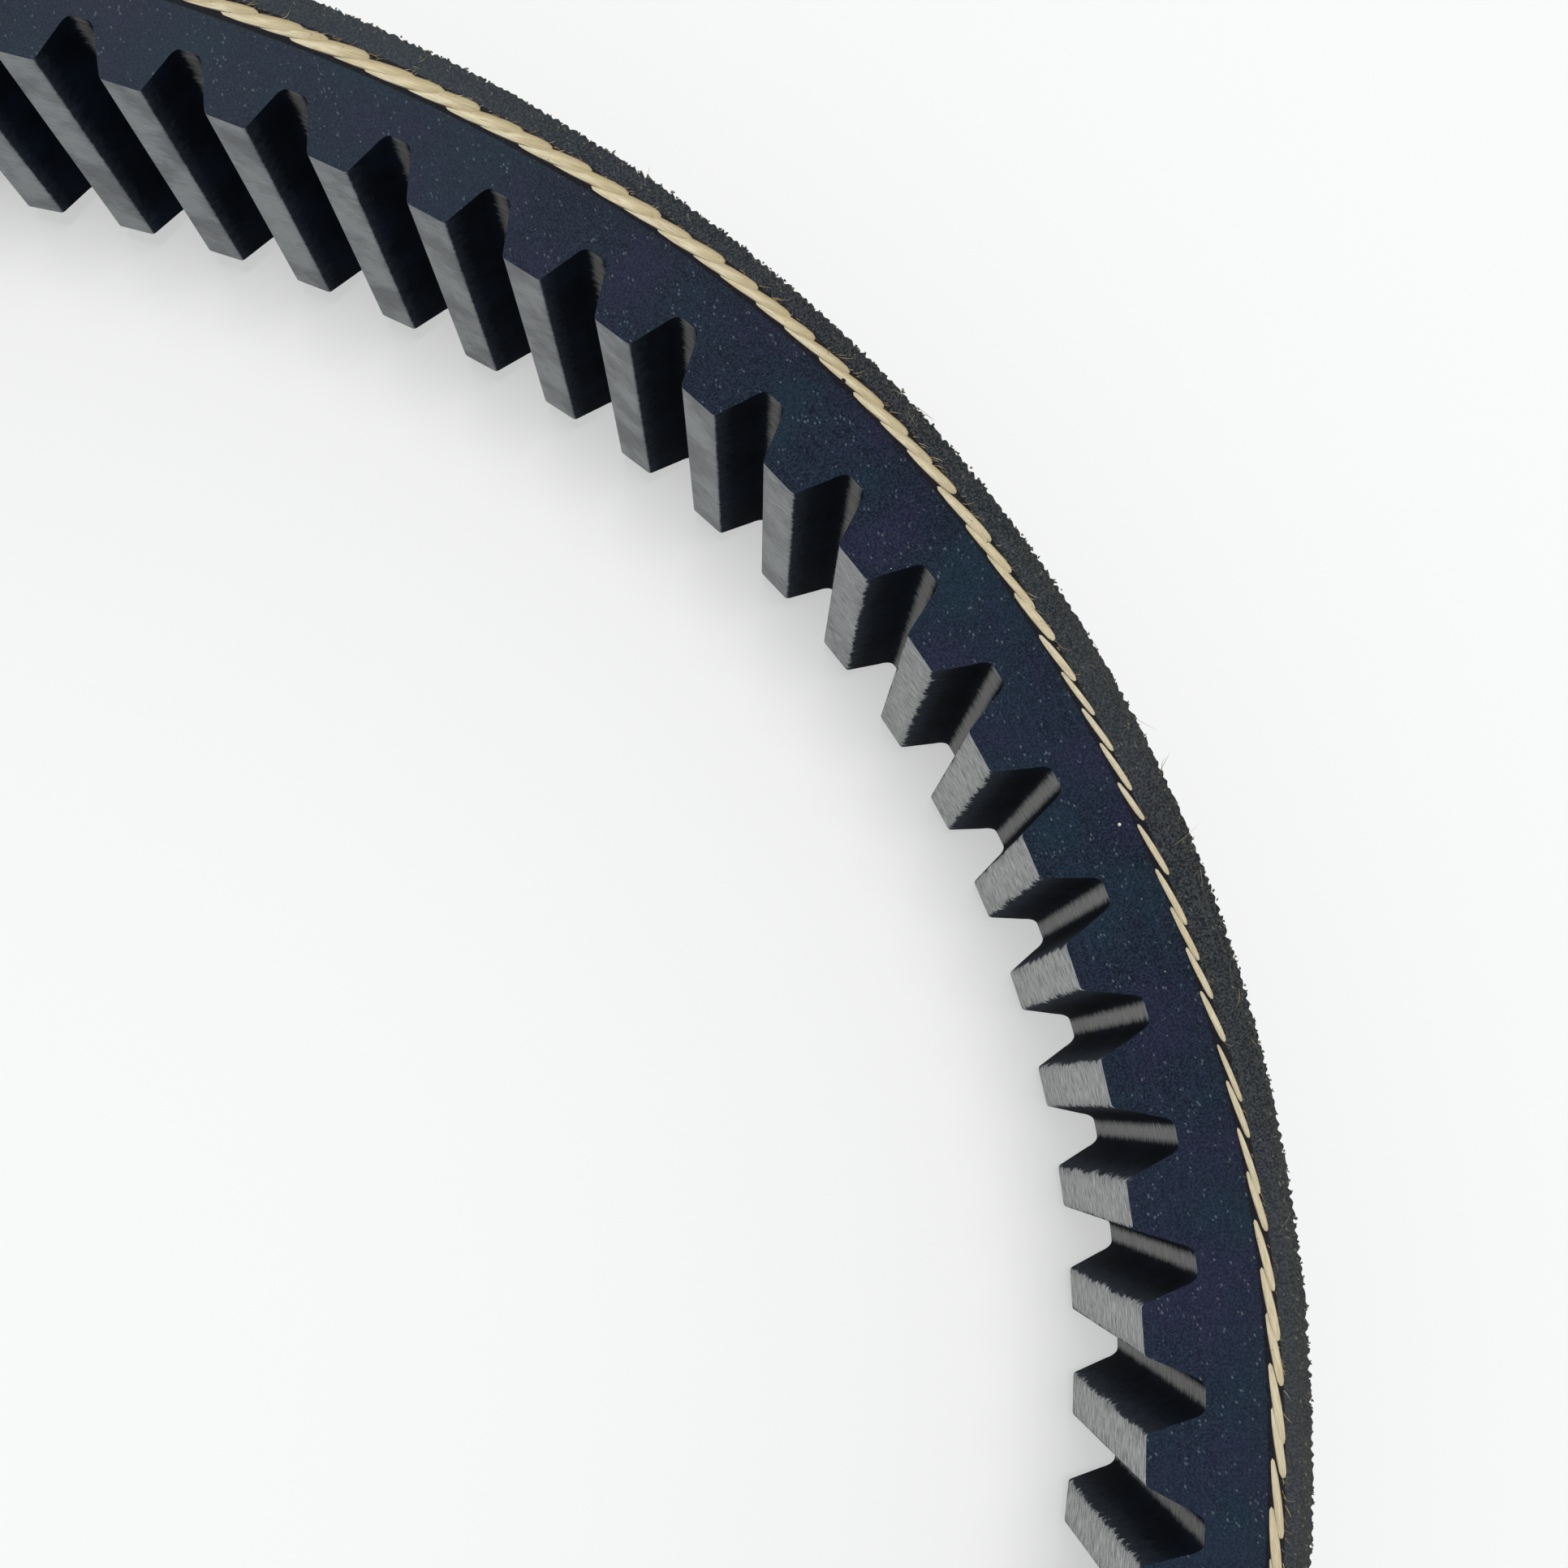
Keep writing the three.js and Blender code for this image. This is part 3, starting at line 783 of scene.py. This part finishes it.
# %% Cord finish
cord_finish = Finish("polyester_cord")
cord_place = cord_finish.place()
along_slice, around_slice, slice_tint, slice_broad = (
    cord_finish.carried(name) for name in ("along", "around", "tint", "broad"))
lane = cord_finish.node("ShaderNodeCombineXYZ", None, {
    "X": along_slice * 2.6, "Y": around_slice * 8.0, "Z": slice_tint * 40.0})
filaments = cord_finish.noise(lane, 1.6, 3.0, 0.6)
spots = cord_finish.noise(cord_place, 2600.0, 3.0, 0.7)
cream = cord_finish.mix(slice_tint, paint(255, 246, 214), paint(250, 236, 198))
cream = cord_finish.mix(cord_finish.step(filaments, 0.36, 0.56), paint(214, 190, 142), cream)
frayed = cord_finish.step(around_slice + (filaments - 0.5) * 1.6, -0.1, 0.7)
outer_half = frayed * slice_broad * 0.75
outer_end = cord_finish.step(along_slice, 0.5, 0.9) * (0.1 + slice_broad * 0.5)
cream = cord_finish.mix(cord_finish.larger(outer_half, outer_end), cream, paint(184, 164, 116))
# Painted shade at the slice's outline, on top of the tan from the adhesive.
edge_tan_and_shade = cord_finish.step(cord_finish.size_of(around_slice), 0.78, 1.0) * 0.85
cream = cord_finish.mix(edge_tan_and_shade, cream, paint(118, 90, 58))
cream = cord_finish.mix(cord_finish.step(spots, 0.66, 0.76) * 0.7, cream, paint(96, 76, 50))
cord_relief = cord_finish.bump(filaments + spots * 0.5, 0.00008, 0.8)
cord_material = cord_finish.shade(cream, 0.8, cord_relief, specular=0.25, sheen=0.2)

upper_cord = cord_slices("cord_slices_upper", 1, 0.4, ((-1.0, 0.40),), slice_random)
settle(upper_cord, "tension_cord", "cord", cord_material)
lower_cord = cord_slices("cord_slices_lower", -1, 1.3, ((212.0, 0.28),), slice_random)
settle(lower_cord, "tension_cord", "cord", cord_material)

# %% [markdown]
# ## Loose fibres
# Cut cloth and cut cord never end cleanly. Short tufts of yarn stand along both rims of the back, a few
# long hairs lie loose over them, and the broad stretches of the cord are fringed. Each fibre is a
# three-sided tapering tube, which is enough for something so thin, and all are made at once.

# %% Fibres
TAPER = 0.75


def fibres(name, roots, ways, bends, lengths, radii, sides=3):
    """Tapering tubes from arrays. Middle = root + (way * t + bend * t squared) * length, for t from 0
    to 1, and radius = radii * (1 - TAPER * t squared), closed by a point at the far end."""
    count, rings = len(roots), 4
    t = np.linspace(0, 1, rings + 1)[:, None]
    middle = roots[:, None] + (ways[:, None] * t + bends[:, None] * t ** 2) * lengths[:, None, None]
    # A fibre that would reach below the lower rim lies flat at its level instead.
    middle[..., 2] = np.maximum(middle[..., 2], radii[:, None] - HALF_BACK)
    heading = ways[:, None] + 2 * bends[:, None] * t
    heading /= np.linalg.norm(heading, axis=-1, keepdims=True)
    helper = np.where(np.abs(heading[..., 2:]) < 0.8, [0.0, 0.0, 1.0], [1.0, 0.0, 0.0])
    one = np.cross(heading, helper)
    one /= np.linalg.norm(one, axis=-1, keepdims=True)
    two = np.cross(heading, one)
    angle = 2 * math.pi * np.arange(sides) / sides
    radius = radii[:, None, None] * (1 - TAPER * t ** 2)
    spokes = (one[:, :, None] * np.cos(angle)[:, None]
              + two[:, :, None] * np.sin(angle)[:, None])
    tube = (middle[:, :, None] + spokes * radius[..., None])[:, :rings]
    vertices = np.concatenate([tube.reshape(count, -1, 3), middle[:, -1:]], 1)
    i, j = np.meshgrid(np.arange(rings - 1), np.arange(sides), indexing="ij")
    j2 = (j + 1) % sides
    quads = np.stack([i * sides + j, i * sides + j2, (i + 1) * sides + j2, (i + 1) * sides + j],
                     -1).reshape(-1, 4)
    k, last = np.arange(sides), (rings - 1) * sides
    tips = np.stack([last + k, last + (k + 1) % sides, np.full(sides, rings * sides)], -1)
    roots_closed = np.stack([np.zeros(sides - 2, int), k[2:], k[1:-1]], -1)
    caps = np.concatenate([tips, roots_closed])
    base = (np.arange(count) * (rings * sides + 1))[:, None, None]
    faces = (quads + base).reshape(-1, 4).tolist() + (caps + base).reshape(-1, 3).tolist()
    mesh = bpy.data.meshes.new(name)
    mesh.from_pydata((vertices * MM).reshape(-1, 3).tolist(), [], faces)
    mesh.polygons.foreach_set("use_smooth", np.ones(len(faces), bool))
    piece = bpy.data.objects.new(name, mesh)
    bpy.context.scene.collection.objects.link(piece)
    print(name, count, "fibres,", len(faces), "faces")
    return piece


def unit(vectors):
    """Vectors divided by their own lengths."""
    return vectors / np.linalg.norm(vectors, axis=-1, keepdims=True)


def belt_ways(s, along, out, up):
    """Unit directions from parts along the belt, out through the back, and up."""
    _, normal, tangent = along_loop(s)
    flat = tangent * along[:, None] + normal * out[:, None]
    return unit(np.concatenate([flat, up[:, None]], -1))


def yarn_finish(name, dull, pale):
    """Fuzzy yarn whose colour drifts between a dull and a pale one."""
    f = Finish(name)
    shade = f.step(f.noise(f.place(), 900.0, 2.0), 0.38, 0.64)
    return f.shade(f.mix(shade, dull, pale), 0.85, f.bump(f.noise(f.place(), 5000.0), 0.00002),
                   specular=0.25, sheen=0.2)


tuft_random = np.random.default_rng(23)
TUFTS, HAIRS = 5200, 170
tuft_s = tuft_random.uniform(0, PITCH_LENGTH, TUFTS)
tuft_flank = np.where(tuft_random.uniform(size=TUFTS) < 0.5, -1.0, 1.0)
tuft_h = THICKNESS - tuft_random.uniform(0.02, 0.22, TUFTS)
tuft_z = (half_width(tuft_h) - tuft_random.uniform(0.0, 0.25, TUFTS)) * tuft_flank
tuft_way = belt_ways(tuft_s, tuft_random.normal(0, 0.8, TUFTS),
                     tuft_random.uniform(0.5, 1.2, TUFTS),
                     tuft_random.uniform(-0.5, 0.35, TUFTS) * tuft_flank)
tufts = fibres("rim_tufts", belt_point(tuft_s, tuft_h, tuft_z), tuft_way,
               tuft_random.normal(0, 0.25, (TUFTS, 3)), tuft_random.uniform(0.06, 0.18, TUFTS),
               tuft_random.uniform(0.05, 0.11, TUFTS))
settle(tufts, "outer_back_fabric_ply", "outer_fabric",
       yarn_finish("rim_yarn", paint(40, 42, 38), paint(128, 126, 98)))

hair_s = tuft_random.uniform(0, PITCH_LENGTH, HAIRS)
HAIR_BUNCHES = ((0, 25.7, 1.4, 14), (14, -8.0, 9.0, 10))    # first hair, place, spread, how many
for first, place, spread, number in HAIR_BUNCHES:
    hair_s[first:first + number] = tuft_random.normal(place, spread, number)
hair_flank = np.where(np.arange(HAIRS) % 3 == 2, -1.0, 1.0)
hair_h = THICKNESS - tuft_random.uniform(0.05, 1.2, HAIRS)
hair_way = belt_ways(hair_s, tuft_random.normal(0, 1.0, HAIRS),
                     tuft_random.uniform(-0.1, 1.0, HAIRS),
                     tuft_random.uniform(-0.1, 0.25, HAIRS) * hair_flank)
hairs = fibres("loose_hairs", belt_point(hair_s, hair_h, half_width(hair_h) * hair_flank),
               hair_way, tuft_random.normal(0, 0.35, (HAIRS, 3)),
               tuft_random.uniform(0.5, 1.5, HAIRS), tuft_random.uniform(0.011, 0.018, HAIRS))
settle(hairs, "outer_back_fabric_ply", "outer_fabric",
       yarn_finish("loose_yarn", paint(104, 92, 66), paint(190, 176, 140)))

FRINGE = 4200
fringe_s = tuft_random.uniform(0, PITCH_LENGTH, FRINGE)
fringe_wide, fringe_off = cord_line(fringe_s)
keep = tuft_random.uniform(size=FRINGE) < np.clip((fringe_wide - 0.5) / 0.5, 0.12, 1)
fringe_s, fringe_wide, fringe_off = fringe_s[keep], fringe_wide[keep], fringe_off[keep]
kept = len(fringe_s)
fringe_flank = np.where(np.arange(kept) % 2 == 0, 1.0, -1.0)
fringe_h = CORD_HEIGHT + fringe_off + fringe_wide * tuft_random.uniform(0.3, 0.52, kept)
fringe_way = belt_ways(fringe_s, -tuft_random.uniform(0.5, 1.4, kept),
                       tuft_random.uniform(0.1, 0.9, kept),
                       tuft_random.uniform(-0.05, 0.3, kept) * fringe_flank)
fringe_root = belt_point(fringe_s, fringe_h, (half_width(fringe_h) + 0.02) * fringe_flank)
fringe = fibres("cord_fringe", fringe_root, fringe_way, tuft_random.normal(0, 0.3, (kept, 3)),
                tuft_random.uniform(0.2, 0.75, kept),
                tuft_random.uniform(0.010, 0.022, kept))
settle(fringe, "tension_cord", "cord",
       yarn_finish("cord_yarn", paint(150, 124, 84), paint(218, 198, 154)))

# %% [markdown]
# ## Grains and flecks
# A few crumbs sit on the ground flanks. Pale grains of dried adhesive lie on the rubber, but not where a
# valley is open under them, and small flecks of burnt rubber lie on the cord. Each is a very short blunt
# tube of eight sides, so one helper stands them on the flanks, on the upper and the lower one in turn.

# %% Pale grains
BEAD_SIDES = 8


def beads(name, s, h, size, length, lean, above):
    """Short blunt tubes at distances s and heights h, leaning along the belt by lean for 1 up, with
    their roots so far above the flank."""
    flank = np.where(np.arange(len(s)) % 2 == 0, 1.0, -1.0)
    up = belt_ways(s, np.full(len(s), lean), np.zeros(len(s)), flank)
    root = belt_point(s, h, (half_width(h) + above) * flank)
    return fibres(name, root, up, np.zeros((len(s), 3)), length, size, BEAD_SIDES)


GRAINS = 90
grain_s = tuft_random.uniform(0, PITCH_LENGTH, GRAINS)
grain_h = tuft_random.uniform(1.2, 7.2, GRAINS)
grain_size = tuft_random.uniform(0.025, 0.05, GRAINS)
grain_s[0], grain_h[0], grain_size[0] = -0.3, 4.82, 0.10    # one larger bead of dried adhesive
over_valley = np.abs(np.mod(grain_s / PITCH + 0.5, 1) - 0.5) > 0.3
grain_h = np.where(over_valley, np.maximum(grain_h, 3.2), grain_h)
grains = beads("pale_grains", grain_s, grain_h, grain_size, grain_size * 1.6, 0.1, -0.02)
settle(grains, "cogged_compression_rubber", "compression_rubber",
       yarn_finish("dried_adhesive", paint(150, 146, 130), paint(246, 242, 226)))

# %% Dark flecks
FLECKS = 14
fleck_s = tuft_random.uniform(0, PITCH_LENGTH, FLECKS)
fleck_size = tuft_random.uniform(0.03, 0.06, FLECKS)
fleck_side = tuft_random.uniform(-0.2, 0.2, FLECKS)
fleck_s[0], fleck_size[0], fleck_side[0] = 28.6, 0.15, -0.22    # one larger fleck of burnt rubber
fleck_h = CORD_HEIGHT + cord_line(fleck_s)[1] + fleck_side
flecks = beads("dark_flecks", fleck_s, fleck_h, fleck_size, fleck_size + 0.12, 0.3, 0.02)
settle(flecks, "tension_cord", "cord",
       yarn_finish("burnt_rubber", paint(14, 12, 14), paint(38, 30, 30)))

# %% [markdown]
# ## Last update
# The view layer is brought up to date, so that every piece made above is placed. The visual belt has
# to stay inside the CAD box, give or take its loose fibres and the fine teeth of its rim.

# %% Update the view layer
bpy.context.view_layer.update()
